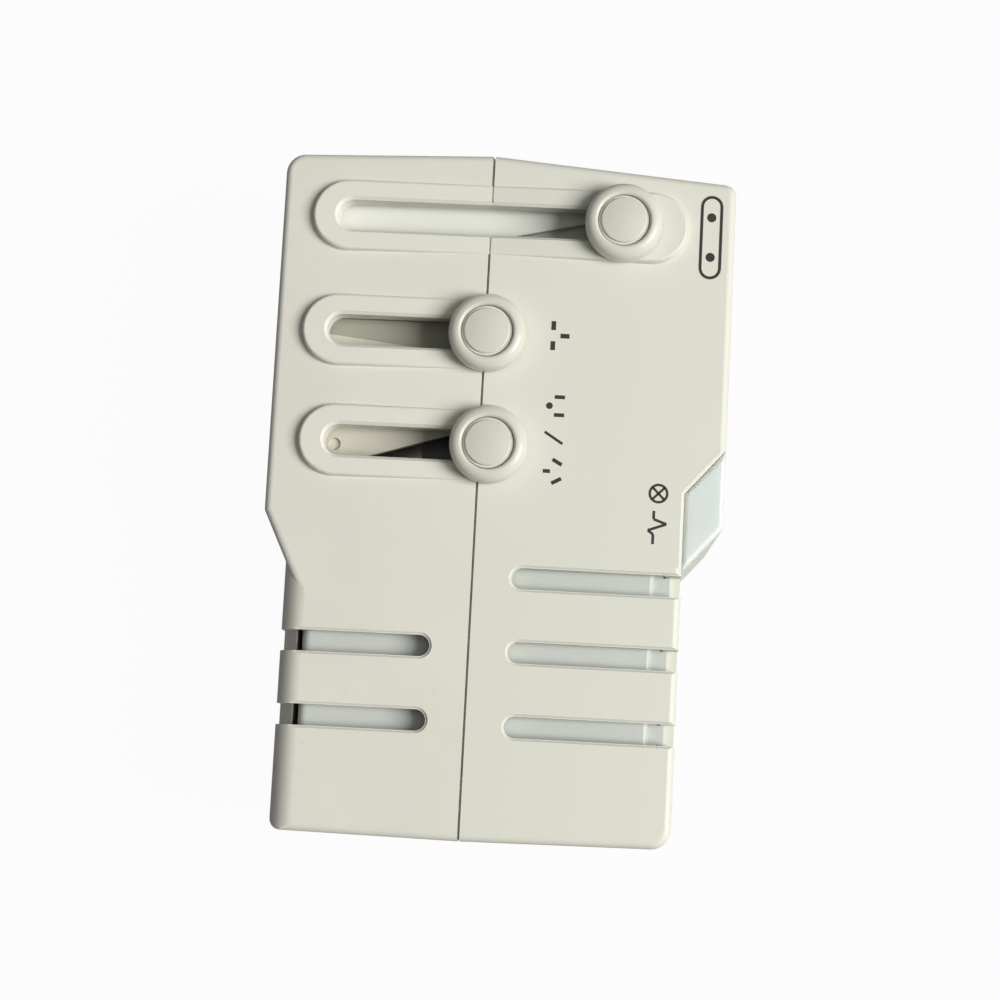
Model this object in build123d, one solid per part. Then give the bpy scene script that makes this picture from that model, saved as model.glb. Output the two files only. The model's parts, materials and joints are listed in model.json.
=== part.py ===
from build123d import *
from math import cos, radians, sin, tan
import os

# A travel adapter lying on its rear face. While it is built, x runs from the seam between the two
# housing halves, y from mid-length and z from the rear face; place() then centres it on its own box.

# UK line pins, whose pitch sets how deep the housing is
uk_pin_pitch = 22.2
uk_pin_wide = 6.35
uk_pin_thick = 4.0

# Housing
body_length = 90.8
depth_past_pins = 9.45
body_depth = uk_pin_pitch + uk_pin_wide + depth_past_pins
plug_reach = 28.0
plug_step_in = 3.0
plug_low_reach = plug_reach - plug_step_in
socket_reach = 32.5
socket_step_in = 5.2
socket_low_reach = socket_reach - socket_step_in
plug_top_draft = 1.1
socket_top_draft = 4.1
foot_draft = 0.6
front_draft = 2.4
wall = 2.0
front_wall = 2.2
plug_top_corner = 2.6
socket_top_corner = 1.6
plug_foot_corner = 1.8
socket_foot_corner = 2.6
step_corner = 1.3
edge_round = 1.0
plug_low_edge_round = 3.3
rear_edge_round = 0.8
seam_gap = 0.3
seam_gap_depth = 0.9
seam_side_depth = 0.15
seam_gap_on_boss = 0.25
cut_over = 3.0
fit = 0.1

# Slider tracks on the front
boss_half = 4.62
boss_rise = 0.15
boss_height = 2.6
boss_slope = 14.0
boss_edge_round = 0.4
slot_half = 2.05
slot_rim = 0.4
europe_from_top = 8.9
uk_below_europe = 15.6
us_below_uk = 14.8
europe_y = body_length / 2 - europe_from_top
uk_y = europe_y - uk_below_europe
us_y = uk_y - us_below_uk
europe_knob_inset = 14.9
europe_knob_x = socket_reach - europe_knob_inset
uk_knob_x = 0.35
us_knob_x = 1.25
europe_slot_inset = 7.5
uk_slot_inset = 7.0
us_slot_inset = 7.4
europe_slot_end_x = europe_slot_inset - plug_reach
uk_slot_end_x = uk_slot_inset - plug_reach
us_slot_end_x = us_slot_inset - plug_reach
slot_to_boss_end = 3.2
europe_boss_past_knob = 8.5
short_boss_past_knob = 4.7
stem_half_x = 1.8
stem_half_y = 1.65
stem_end_gap = 0.2

# Steps in the two sides, below the last track
plug_step_below_us = 9.6
plug_step_y = us_y - plug_step_below_us
plug_step_drop = 6.2
socket_step_below_us = 9.2
socket_step_y = us_y - socket_step_below_us
socket_step_drop = 6.0

# Grip grooves over the inner case
groove_below_step = 8.0
groove_first_y = socket_step_y - groove_below_step
groove_pitch = 9.67
groove_half = 1.4
groove_start_x = 5.1
groove_left_lift = 0.3
groove_plug_side_depth = 3.4
groove_ramp_angle = 56.0
groove_rim = 0.25
rim_ledge = 0.08

# Sliding parts, common to the three plugs
pin_line_back = 0.4
pin_mid_z = body_depth / 2 - pin_line_back
plate_thickness = 0.8
plate_gap = 0.3
shelf_gap = 0.2
shelf_thickness = 1.0
shelf_low_half = 2.3
shelf_high_half = 2.9
europe_shelf_high_half = 3.3
shelf_side_gap = 0.25
guide_thickness = 3.0
guide_gap = 0.3
stop_gap = 0.3
slide_fit = 0.25
carriage_floor_gap = 0.5
carriage_edge_round = 0.4
bar_thickness = 0.5
bar_width = 3.6
bar_setback = 0.8
bar_clear = 0.3
wiper_thickness = 0.25
wiper_width = 2.0
wiper_gap = 0.1

# Knob and its centre button
knob_radius = 5.1
knob_height = 2.9
knob_gap = 0.3
knob_shoulder = 1.3
knob_floor = 0.7
ring_radius = 3.42
ring_edge_round = 0.4
button_gap = 0.1
button_radius = ring_radius - button_gap
button_cap_radius = 3.02
button_thickness = 1.1
button_shoulder = 0.4
button_dome = 0.3
button_drop = 0.1
button_edge_round = 0.22
button_travel = 0.8
shaft_radius = 0.7
shaft_fit = 0.15
shaft_tip_gap = 0.6
washer_thickness = 0.12
washer_inner = 1.3
washer_outer = 2.9
washer_gap = 0.02

# Europe plug: two round pins with half sleeves in a body that slides out with them
europe_pin_drop = 0.5
europe_pin_pitch = 19.0
europe_pin_radius = 2.0
europe_pin_length = 19.0
europe_sleeve_length = 10.0
europe_sleeve_radius = 1.98
europe_sleeve_bore = 1.5
europe_body_half_y = 5.9
europe_body_half_z = 13.2
europe_body_corner = 3.0
europe_rear_inset = 6.5
europe_body_rear_x = socket_reach - europe_rear_inset
europe_pad_past_knob = 4.0
europe_pad_start_x = europe_knob_x - europe_pad_past_knob
europe_tail_lead = 1.6
europe_tail_start_x = europe_pad_start_x - europe_tail_lead
europe_tail_cut = 0.7
europe_pin_root = 12.0
europe_pocket_depth = 10.0
europe_pocket_wall = 1.6

# UK plug: line pins above and below mid-depth, plastic earth pin towards the foot
uk_pin_lift = 3.2
uk_pin_length = 17.7
uk_pin_chamfer = 0.6
uk_earth_offset = 22.2
uk_earth_tall = 8.0
uk_earth_wide = 4.0
uk_block_past_pin = 3.9
uk_block_high_y = uk_y + uk_pin_lift + uk_block_past_pin
uk_block_below_knob = 3.9
uk_block_low_y = uk_y - uk_block_below_knob
uk_rear_x = 8.0
uk_head_depth = 12.0
uk_spine_x = 2.0
uk_arm_half_z = 1.8
uk_arm_rear_x = 2.0
uk_pin_root = 9.0

# USA and Australia plug: two blades, each in a hub that turns
us_blade_pitch = 13.2
us_blade_wide = 6.3
us_blade_thick = 1.5
us_blade_length = 17.5
us_blade_corner = 1.0
us_blade_hole = 1.5
us_blade_hole_from_root = 11.7
us_blade_root = 9.0
us_hub_radius = 3.5
us_hub_fit = 0.05
us_hub_collar = 4.0
us_hub_collar_fit = 0.15
us_hub_collar_length = 2.0
us_hub_rear_gap = 0.1
us_turn = 30.0
us_holder_wall = 1.2
us_holder_rear_x = 4.0
us_back_thickness = 4.0
us_web_below_knob = 9.5
us_web_high_y = us_y - us_web_below_knob
us_web_thickness = 3.9
us_web_low_y = us_web_high_y - us_web_thickness
us_link_half_y = 3.6
us_link_thickness = 3.8
us_link_gap = 0.6
us_link_step = 0.4
us_link_below_knob = 0.4

# Plug guide inside the wall-side half
guide_past_us = 8.7
guide_low_y = us_y - guide_past_us
us_shelf_cut_reach = 10.2
us_shelf_cut_x = us_shelf_cut_reach - plug_reach
us_shelf_cut_slope = 0.311
europe_shelf_before_pad = 0.4
europe_shelf_end_x = europe_pad_start_x - europe_shelf_before_pad
europe_shelf_cut_x = -2.7
europe_shelf_cut_slope = 0.2304
uk_shelf_high = 0.9
uk_shelf_end_x = -7.0
uk_shelf_end_high = -1.4
uk_strip_high = 2.3
uk_strip_end_x = uk_knob_x
uk_strip_drop = 0.11
uk_strip_above_pin = 0.12
uk_strip_fit = 0.05
dimple_from_slot_end = 1.0
dimple_radius = 0.85
dimple_depth = 0.5

# Screws and their posts
post_radius = 2.4
post_bore = 1.25
upper_post_y = (uk_y + us_y) / 2
post_rise = 5.6
upper_post_drop = 6.6
lower_post_drop = 8.0
upper_post_low_z = post_rise
upper_post_high_z = body_depth - upper_post_drop
lower_post_from_foot = 4.7
lower_post_low_z = post_rise
lower_post_high_z = body_depth - lower_post_drop
post_far_x = 10.8
screw_radius = 1.1
screw_head_radius = 1.95
screw_head_height = 1.3
screw_head_recess = 1.7
screw_head_fit = 0.2
screw_tip_x = 9.0
screw_drive_width = 0.7
screw_drive_length = 2.6
screw_drive_depth = 0.7

# Universal socket in the socket face
socket_line_below_europe = 11.7
socket_line_y = europe_y - socket_line_below_europe
socket_line_back = 0.5
socket_mid_z = body_depth / 2 - socket_line_back
face_margin_z = 3.8
face_half_z = body_depth / 2 - face_margin_z
face_past_line = 5.2
face_top_y = socket_line_y + face_past_line
face_head_drop = 16.4
face_waist_y = socket_line_y - face_head_drop
face_above_step = 0.1
face_foot_y = socket_step_y + face_above_step
face_flange_lift = 0.8
face_flange_foot_y = face_foot_y + face_flange_lift
face_tongue_half_z = 4.6
face_corner = 1.2
face_flange = 1.6
face_flange_margin = 0.8
uk_hole_half_wide = 3.3
uk_hole_half_thick = 2.2
uk_earth_hole_half_tall = 4.2
euro_hole_radius = 2.5
euro_hole_pitch = 19.0
us_hole_pitch = 12.7
us_hole_half_tall = 3.4
us_hole_half_thick = 1.0
au_hole_pitch = 13.7
us_earth_drop = 11.9
us_earth_hole_radius = 2.5
base_front_x = us_holder_rear_x + us_back_thickness + us_link_step + us_link_thickness + us_link_gap
base_margin_z = 0.7
base_half_z = face_half_z + base_margin_z
base_wall = 0.9
base_half_y = 4.8
base_low_y = socket_line_y - base_half_y
base_high_y = socket_line_y + base_half_y
earth_leg_half_z = 3.6
earth_leg_foot_y = socket_step_y + face_above_step + face_flange_lift / 2
contact_set_in = 1.8
contact_start_x = base_front_x + contact_set_in
contact_end_gap = 1.2
contact_thick = 0.45
contact_inner_z = 4.9
contact_pinch_start_z = 8.2
contact_pinch_z = 9.4
contact_pinch_end_z = 12.8
contact_outer_z = 14.3
contact_wide_y = 3.45
contact_pinch_y = 2.15
tail_width = 2.4
tail_slot_fit = 0.2

# Inner case with the surge protection
core_cover_thickness = 1.6
core_cover_gap = 0.8
core_left_x = -(plug_low_reach - wall - core_cover_gap - core_cover_thickness)
core_side_gap = 1.5
core_flange_gap = 0.25
core_flange_drop = 0.9
core_flange_height = 3.0
core_tab_thickness = 0.8
core_tab_reach = 0.6
core_tab_fit = 0.12
core_right_x = socket_low_reach - wall - core_side_gap
core_below_step = 5.5
core_high_y = socket_step_y - core_below_step
core_post_gap = 0.7
core_low_y = lower_post_from_foot - body_length / 2 + post_radius + core_post_gap
core_front_gap = 0.3
core_rear_z = wall + bar_thickness + core_front_gap
core_wall = 1.2
core_edge_round = 0.6
core_cover_lip = 1.0
core_cover_round = 1.2
core_room_y = core_high_y - core_low_y - 2 * core_wall
board_thickness = 1.6
board_margin = 0.6
varistor_radius_share = 0.263
varistor_radius = core_room_y * varistor_radius_share
varistor_thickness = 4.2
varistor_stand = 0.6
varistor_leg_radius = 0.4
varistor_leg_pitch = 7.5
varistor_drop = 11.0
fuse_radius = 2.5
fuse_end_gap = 3.3
fuse_cap_share = 0.25
clip_width_share = 0.18
fuse_length = core_room_y - 2 * fuse_end_gap
fuse_cap_length = fuse_length * fuse_cap_share
clip_width = fuse_length * clip_width_share
fuse_cap_extra = 0.1
fuse_gap = 2.0
fuse_rise = 8.0
clip_thickness = 0.4
resistor_radius = 1.2
resistor_length = 6.5
resistor_lead_radius = 0.3
resistor_pitch = 10.0
resistor_gap = 1.6
resistor_drop = 8.7

# Surge lamp behind its window
lens_length_y = 10.3
lens_height = 13.0
lens_floor_z = body_depth - lens_height
lens_below_face = 0.35
lens_fit = 0.05
lens_edge_round = 0.6
lens_rim = 0.35
lamp_radius = 2.3
lamp_to_lens = 6.3
lamp_x = socket_low_reach - lamp_to_lens
lamp_gap = 1.2
lamp_below_lens = 1.0
lamp_low_z = lens_floor_z - lamp_below_lens
lamp_length = 9.0
holder_half_x = 3.2
holder_height_z = 5.0
lead_radius = 0.35
lead_bend = 1.2
lead_pitch = 1.6
lead_drop = 8.0
lead_low_z = lamp_low_z - lead_drop


def block(x0, x1, y0, y1, z0, z1):
    """An upright box between two corners."""
    low = (Align.MIN, Align.MIN, Align.MIN)
    return Pos(x0, y0, z0) * Box(x1 - x0, y1 - y0, z1 - z0, align=low)


def upright(sketch, z0, z1):
    """A plan sketch carried from one height to another."""
    return Pos(0, 0, z0) * extrude(sketch, z1 - z0, dir=(0, 0, 1))


def along_x(section, x0, x1):
    """A section drawn as (y, z), carried from one x to another."""
    return Pos(x0, 0, 0) * extrude(Plane.YZ * section, x1 - x0, dir=(1, 0, 0))


def along_y(section, y0, y1):
    """A section drawn as (x, z), carried from one y to another."""
    return Pos(0, y0, 0) * extrude(Plane.XZ * section, y1 - y0, dir=(0, 1, 0))


def outline(*points):
    return Polygon(*points, align=None)


def rounded_corner(sketch, point, radius):
    return fillet(sketch.vertices().sort_by_distance((*point, 0))[0], radius)


def rod_x(x0, x1, y, z, radius):
    return along_x(Pos(y, z) * Circle(radius), x0, x1)


def plate_yz(y0, y1, z0, z1, corner):
    """A round-cornered section in y and z."""
    centre = Pos((y0 + y1) / 2, (z0 + z1) / 2)
    return centre * RectangleRounded(y1 - y0, z1 - z0, corner)


def mirrored(shape):
    return mirror(shape, about=Plane.YZ)


def place(shape):
    """Shift from the seam to the middle of the part's own box."""
    shift = Pos((plug_reach - socket_reach) / 2, 0, 0)
    solids = [shift * solid for solid in shape.solids()]
    return solids[0] if len(solids) == 1 else Compound(solids)


# Levels worked out from the sizes above
front_fall = tan(radians(front_draft))
inner_front_z = body_depth - front_wall
plate_top_z = inner_front_z - (plug_reach - wall) * front_fall - plate_gap
plate_low_z = plate_top_z - plate_thickness
shelf_top_z = plate_low_z - shelf_gap
shelf_low_z = shelf_top_z - shelf_thickness
sliding_top_z = shelf_low_z - slide_fit
boss_top_z = body_depth + boss_rise
knob_low_z = boss_top_z + knob_gap
knob_top_z = knob_low_z + knob_height
bar_top_z = wall + bar_thickness
carriage_low_z = wall + bar_thickness + carriage_floor_gap
guide_x = -(plug_reach - wall)
guide_back_x = guide_x + guide_thickness
stop_x = guide_back_x + stop_gap
europe_pin_y = europe_y - europe_pin_drop
uk_pin_y = uk_y + uk_pin_lift
uk_earth_y = uk_pin_y - uk_earth_offset
lower_post_y = lower_post_from_foot - body_length / 2
core_top_z = inner_front_z - core_right_x * front_fall - core_front_gap
core_flange_top_z = core_top_z - core_flange_drop
core_tab_low_z = core_flange_top_z - core_tab_thickness


def slot_travel(knob_x, slot_end_x):
    """How far a knob runs from rest to the closed end of its slot."""
    return knob_x - slot_end_x - stem_half_x - stem_end_gap


europe_travel = slot_travel(europe_knob_x, europe_slot_end_x)
uk_travel = slot_travel(uk_knob_x, uk_slot_end_x)
us_travel = slot_travel(us_knob_x, us_slot_end_x)
live_wiper_x = guide_back_x + bar_setback + bar_width / 2
neutral_bar_x = uk_rear_x - uk_travel


# Housing halves

def half_outlines(reach, low_reach, step_y, drop, top_draft, inset):
    """Plans of a half's upper and lower blocks, moved in from the outside by inset."""
    step_in = reach - low_reach
    hypotenuse = (step_in ** 2 + drop ** 2) ** 0.5
    lean_sin = drop / hypotenuse
    lean_cos = step_in / hypotenuse
    end_x = reach - inset
    low_x = low_reach - inset
    top_y = body_length / 2 - inset
    end_top_y = top_y - end_x * tan(radians(top_draft))
    corner_y = step_y + inset * (1 - lean_sin) / lean_cos
    low_y = corner_y - drop
    foot_y = inset - body_length / 2
    end_foot_y = foot_y + low_x * tan(radians(foot_draft))
    run_x, run_y = low_x - step_in, low_y - drop
    overlap_y = low_y + drop / 2
    upper = [(0, top_y), (end_x, end_top_y), (end_x, corner_y), (run_x, run_y), (0, run_y)]
    lower = [(0, overlap_y), (low_x, overlap_y), (low_x, end_foot_y), (0, foot_y)]
    return upper, lower


def side_profile(reach, floor_z, seam_z, corner=0):
    """Section from the seam outwards: level behind, falling away in front."""
    end_z = seam_z - reach * front_fall
    start_z = seam_z + cut_over * front_fall
    shape = outline((-cut_over, floor_z), (reach, floor_z), (reach, end_z), (-cut_over, start_z))
    if corner:
        shape = rounded_corner(shape, (reach, end_z), corner)
    return along_y(shape, -body_length, body_length)


def loop_edges(solid, top, skip_y):
    """The rim of the front or rear face, without the seam and the side that the other block covers."""
    face = solid.faces().sort_by(Axis.Z)[-1 if top else 0]
    kept = ShapeList()
    for edge in face.edges():
        middle = edge.center()
        on_seam = abs(middle.X) < fit
        on_joint = abs(middle.Y - skip_y) < fit and abs(edge.bounding_box().size.Y) < fit
        if not on_seam and not on_joint:
            kept.append(edge)
    return kept


def rounded_block(points, corners, skip_y, reach):
    """One block of a half with its upright corners and its front and rear rims rounded."""
    plan = outline(*points)
    for point, radius in corners:
        plan = rounded_corner(plan, point, radius)
    solid = upright(plan, 0, body_depth + cut_over) & side_profile(reach, 0, body_depth)
    solid = fillet(loop_edges(solid, True, skip_y), edge_round)
    return fillet(loop_edges(solid, False, skip_y), rear_edge_round)


def outer_half(reach, low_reach, step_y, drop, top_draft, top_corner, foot_corner, low_round):
    upper, lower = half_outlines(reach, low_reach, step_y, drop, top_draft, 0)
    upper_block = rounded_block(upper, [(upper[1], top_corner), (upper[2], step_corner)],
                                upper[4][1], reach)
    lower_block = rounded_block(lower, [(lower[2], foot_corner)], lower[0][1], reach)
    if low_round > edge_round:
        lower_block = lower_block & side_profile(low_reach, -cut_over, body_depth, low_round)
    return upper_block + lower_block


def hollow(reach, low_reach, step_y, drop, top_draft, inset, floor_z, seam_z):
    """The room inside a half."""
    upper, lower = half_outlines(reach, low_reach, step_y, drop, top_draft, inset)
    room = side_profile(reach, floor_z, seam_z)
    solid = None
    for points in (upper, lower):
        run_back = [(-cut_over if x == 0 else x, y) for x, y in points]
        piece = upright(outline(*run_back), 0, body_depth + cut_over) & room
        solid = piece if solid is None else solid + piece
    return solid


def stadium(x0, x1, y, half, z0, z1, taper=0.0):
    """A round-ended column from x0 to x1, overall."""
    sketch = Pos((x0 + x1) / 2, y) * SlotOverall(x1 - x0, half * 2)
    return Pos(0, 0, z0) * extrude(sketch, z1 - z0, dir=(0, 0, 1), taper=taper)


def track(knob_x, slot_end_x, y, past_knob):
    """A slider's raised track and the slot through it."""
    spread = boss_height * tan(radians(boss_slope))
    left = slot_end_x - slot_to_boss_end
    right = knob_x + past_knob
    pad = stadium(left - spread, right + spread, y, boss_half + spread,
                  boss_top_z - boss_height, boss_top_z, boss_slope)
    pad = fillet(pad.faces().sort_by(Axis.Z)[-1].edges(), boss_edge_round)
    slot_right = knob_x + stem_half_x + stem_end_gap
    slot = stadium(slot_end_x, slot_right, y, slot_half, plate_top_z, boss_top_z + cut_over)
    rim = stadium(slot_end_x, slot_right, y, slot_half, boss_top_z - slot_rim, boss_top_z + fit, -45)
    return pad, slot + rim


def tracks():
    return [track(europe_knob_x, europe_slot_end_x, europe_y, europe_boss_past_knob),
            track(uk_knob_x, uk_slot_end_x, uk_y, short_boss_past_knob),
            track(us_knob_x, us_slot_end_x, us_y, short_boss_past_knob)]


def groove_y(row):
    return groove_first_y - row * groove_pitch


def groove_plan(y, reach, grow):
    start_x, end_x = groove_start_x - grow, reach + cut_over
    return Pos((start_x + end_x) / 2, y) * SlotOverall(end_x - start_x, (groove_half + grow) * 2)


def front_bevel(plan, depth):
    """A cut that bevels an opening in the sloping front face, from a plan just wider than the opening."""
    slope = radians(front_draft)
    front = Plane(origin=(0, 0, body_depth - depth), x_dir=(cos(slope), 0, -sin(slope)),
                  z_dir=(sin(slope), 0, cos(slope)))
    return extrude(front * plan, depth + fit, taper=-45)


def groove(y, reach, floor_z):
    """A grip groove, open at the side, with a bevelled rim that follows the sloping front."""
    cut = upright(groove_plan(y, reach + groove_half, 0), floor_z, body_depth + cut_over)
    return cut + front_bevel(groove_plan(y, reach + groove_half, rim_ledge), groove_rim)


def groove_ramp(y, floor_z):
    """Where a groove leaves the plug side's half it falls away steeply over the wall."""
    inner_x, outer_x = plug_low_reach - wall - fit, plug_low_reach + cut_over
    fall = (outer_x - inner_x) * tan(radians(groove_ramp_angle))
    section = outline((inner_x, floor_z), (outer_x, floor_z - fall), (outer_x, body_depth),
                      (inner_x, body_depth))
    return along_y(section, y - groove_half, y + groove_half)


def seam_relief(inner):
    """Half of the shadow gap that runs round the seam, left shallow over the raised tracks."""
    relief = block(0, seam_gap / 2, -body_length, body_length, -cut_over, boss_top_z + cut_over)
    relief = relief - inner
    for y in (europe_y, uk_y, us_y):
        relief = relief - block(-fit, seam_gap, y - boss_half, y + boss_half, body_depth / 2,
                                boss_top_z - seam_gap_on_boss)
    return relief


def post(y, z, x0, x1, foot_z):
    """A screw post with a rib down to the wall that carries it."""
    rib = block(x0, x1, y - post_bore, y + post_bore, min(z, foot_z), max(z, foot_z))
    return rod_x(x0, x1, y, z, post_radius) + rib


def post_places():
    """Each post as y, z, the outer face at its screw head and the wall that its rib stands on."""
    low, high = wall - fit, inner_front_z
    return [(upper_post_y, upper_post_low_z, plug_reach, low),
            (upper_post_y, upper_post_high_z, plug_reach, high),
            (lower_post_y, lower_post_low_z, plug_low_reach, low),
            (lower_post_y, lower_post_high_z, plug_low_reach, high)]


def europe_exit(x0, x1, margin):
    half_y = europe_body_half_y + margin
    half_z = europe_body_half_z + margin
    section = Pos(europe_pin_y, pin_mid_z) * RectangleRounded(half_y * 2, half_z * 2, europe_body_corner)
    return along_x(section, x0, x1)


def uk_exit(x0, x1, margin):
    """The two line pins' holes and the earth pin's."""
    room = None
    for side in (-1, 1):
        z = pin_mid_z + side * uk_pin_pitch / 2
        hole = block(x0, x1, uk_pin_y - uk_pin_thick / 2 - margin, uk_pin_y + uk_pin_thick / 2 + margin,
                     z - uk_pin_wide / 2 - margin, z + uk_pin_wide / 2 + margin)
        room = hole if room is None else room + hole
    earth = block(x0, x1, uk_earth_y - uk_earth_tall / 2 - margin, uk_earth_y + uk_earth_tall / 2 + margin,
                  pin_mid_z - uk_earth_wide / 2 - margin, pin_mid_z + uk_earth_wide / 2 + margin)
    return room + earth


def us_exit(x0, x1, margin):
    room = None
    for side in (-1, 1):
        hole = rod_x(x0, x1, us_y, pin_mid_z + side * us_blade_pitch / 2, us_hub_radius + margin)
        room = hole if room is None else room + hole
    return room


def wall_side_shell():
    sizes = (plug_reach, plug_low_reach, plug_step_y, plug_step_drop, plug_top_draft)
    shell = outer_half(*sizes, plug_top_corner, plug_foot_corner, plug_low_edge_round)
    pads_and_slots = tracks()
    half_space = block(0, plug_reach, -body_length, body_length, 0, body_depth + cut_over)
    for pad, _ in pads_and_slots:
        shell = shell + (mirrored(pad) & half_space)
    shell = shell - hollow(*sizes, wall, wall, inner_front_z)
    room = hollow(*sizes, wall / 2, wall / 2, inner_front_z + fit)
    for y, z, face_x, foot_z in post_places():
        shell = shell + (post(y, z, 0, face_x - wall / 2, foot_z) & room)
    shell = shell - seam_relief(hollow(*sizes, seam_side_depth, seam_side_depth,
                                       body_depth - seam_gap_depth))
    for _, slot in pads_and_slots:
        shell = shell - mirrored(slot)
    floor_z = body_depth - plug_low_reach * front_fall - groove_plug_side_depth
    for row in (1, 2):
        y = groove_y(row) + groove_left_lift
        shell = shell - groove(y, plug_low_reach, floor_z) - groove_ramp(y, floor_z)
    shell = mirrored(shell)
    for y, z, face_x, _ in post_places():
        shell = shell - rod_x(-face_x, 0, y, z, post_bore)
        shell = shell - rod_x(-face_x - cut_over, screw_head_recess - face_x, y, z,
                              screw_head_radius + screw_head_fit)
    for x in (live_wiper_x, neutral_bar_x):
        half = bar_width / 2 + bar_clear
        shell = shell - block(x - half, x + half, upper_post_y - post_radius, upper_post_y + post_radius,
                              wall, bar_top_z + bar_clear)
    out_x = -plug_reach - cut_over
    in_x = guide_x + fit
    return shell - europe_exit(out_x, in_x, slide_fit) - uk_exit(out_x, in_x, slide_fit) \
        - us_exit(out_x, in_x, slide_fit)


def lens_plan(grow):
    """The window's plan: the corner above the side step, parallel to the step's slope."""
    inner_x = socket_low_reach - grow
    slope = socket_step_drop / (socket_reach - socket_low_reach)
    low_y = socket_step_y - socket_step_drop
    rise = grow * slope
    top = lens_length_y + grow
    return outline((inner_x, low_y - rise), (socket_reach + grow, socket_step_y + rise),
                   (socket_reach + grow, socket_step_y + top + rise), (inner_x, low_y + top - rise))


def face_outline(margin, corner, foot_y=face_foot_y):
    """The socket face in y and z: a broad head for the line holes and a tongue for the earth hole."""
    head = plate_yz(face_waist_y - margin, face_top_y + margin,
                    socket_mid_z - face_half_z - margin, socket_mid_z + face_half_z + margin, corner)
    tongue = plate_yz(foot_y - margin, face_top_y - corner,
                      socket_mid_z - face_tongue_half_z - margin,
                      socket_mid_z + face_tongue_half_z + margin, corner)
    return head + tongue


def socket_side_shell():
    sizes = (socket_reach, socket_low_reach, socket_step_y, socket_step_drop, socket_top_draft)
    shell = outer_half(*sizes, socket_top_corner, socket_foot_corner, 0)
    pads_and_slots = tracks()
    half_space = block(0, socket_reach, -body_length, body_length, 0, body_depth + cut_over)
    for pad, _ in pads_and_slots:
        shell = shell + (pad & half_space)
    shell = shell - hollow(*sizes, wall, wall, inner_front_z)
    room = hollow(*sizes, wall / 2, wall / 2, inner_front_z + fit)
    for y, z, _, foot_z in post_places():
        shell = shell + (post(y, z, 0, post_far_x, foot_z) & room)
    shell = shell - seam_relief(hollow(*sizes, seam_side_depth, seam_side_depth,
                                       body_depth - seam_gap_depth))
    for _, slot in pads_and_slots:
        shell = shell - slot
    for row in range(3):
        shell = shell - groove(groove_y(row), socket_low_reach, core_tab_low_z - fit)
    for y, z, _, _ in post_places():
        shell = shell - rod_x(-cut_over, screw_tip_x + fit, y, z, screw_radius + fit / 2)
    shell = shell - upright(lens_plan(lens_fit), lens_floor_z, body_depth + cut_over)
    shell = shell - front_bevel(lens_plan(lens_fit + rim_ledge), lens_rim)
    return shell - along_x(face_outline(lens_fit, face_corner), socket_reach - wall - fit,
                           socket_reach + cut_over)


def housing_screws():
    """Four screws from the wall side, their heads sunk in the housing."""
    group = []
    for y, z, face_x, _ in post_places():
        head_x = screw_head_recess - face_x
        screw = rod_x(head_x, screw_tip_x, y, z, screw_radius)
        head = rod_x(head_x - screw_head_height, head_x, y, z, screw_head_radius)
        head = fillet(head.faces().sort_by(Axis.X)[0].edges(), screw_head_fit)
        screw = screw + head
        for long_y, long_z in ((screw_drive_length, screw_drive_width),
                               (screw_drive_width, screw_drive_length)):
            recess = along_x(Pos(y, z) * Rectangle(long_y, long_z), head_x - screw_head_height - fit,
                             head_x - screw_head_height + screw_drive_depth)
            screw = screw - recess
        group.append(screw)
    return Compound([s.solid() for s in group])


# Knobs, buttons and their springs

def turned(points, x, y):
    """A profile of (radius, z) points turned about an upright axis."""
    return Pos(x, y, 0) * revolve(Plane.XZ * outline(*points), Axis.Z)


def knob(x, y):
    bore = shaft_radius + shaft_fit
    pocket_z = knob_low_z + knob_floor
    body = turned([(bore, knob_low_z), (knob_radius, knob_low_z), (knob_radius, knob_top_z),
                   (ring_radius, knob_top_z), (ring_radius, pocket_z), (bore, pocket_z)], x, y)
    rims = body.faces().sort_by(Axis.Z)[-1].edges().sort_by(SortBy.LENGTH)
    body = fillet(rims[-1], knob_shoulder)
    inner = body.edges().filter_by(GeomType.CIRCLE).filter_by(lambda e: abs(e.radius - ring_radius) < fit)
    return fillet(inner.sort_by(Axis.Z)[-1], ring_edge_round)


def button(x, y):
    top_z = knob_top_z - button_drop
    disc_z = top_z - button_thickness
    tip_z = plate_top_z + shaft_tip_gap + button_travel
    disc = Pos(x, y, disc_z) * Cylinder(button_radius, button_thickness - button_shoulder,
                                        align=(Align.CENTER, Align.CENTER, Align.MIN))
    dome_radius = (button_cap_radius ** 2 + button_dome ** 2) / (2 * button_dome)
    dome = Pos(0, top_z + button_dome - dome_radius) * Circle(dome_radius)
    section = dome & outline((0, disc_z), (button_cap_radius, disc_z),
                             (button_cap_radius, top_z + button_dome), (0, top_z + button_dome))
    section = rounded_corner(section, (button_cap_radius, top_z), button_edge_round)
    disc = disc + Pos(x, y, 0) * revolve(Plane.XZ * section, Axis.Z)
    shaft = Pos(x, y, tip_z) * Cylinder(shaft_radius, disc_z - tip_z + fit,
                                        align=(Align.CENTER, Align.CENTER, Align.MIN))
    return disc + shaft


def button_spring(x, y):
    """A dished spring washer between the knob's floor and the button."""
    low = knob_low_z + knob_floor + washer_gap
    high = knob_top_z - button_drop - button_thickness - washer_gap - washer_thickness
    return turned([(washer_outer, low), (washer_outer, low + washer_thickness),
                   (washer_inner, high + washer_thickness), (washer_inner, high)], x, y)


def stem(x, y):
    """The post that carries a knob, bored for the button's shaft."""
    return stadium(x - stem_half_x, x + stem_half_x, y, stem_half_y, plate_low_z, knob_low_z)


def stem_bore(x, y):
    tall = knob_low_z - plate_low_z + fit
    return Pos(x, y, plate_low_z) * Cylinder(shaft_radius + shaft_fit, tall + fit,
                                             align=(Align.CENTER, Align.CENTER, Align.MIN))


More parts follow.
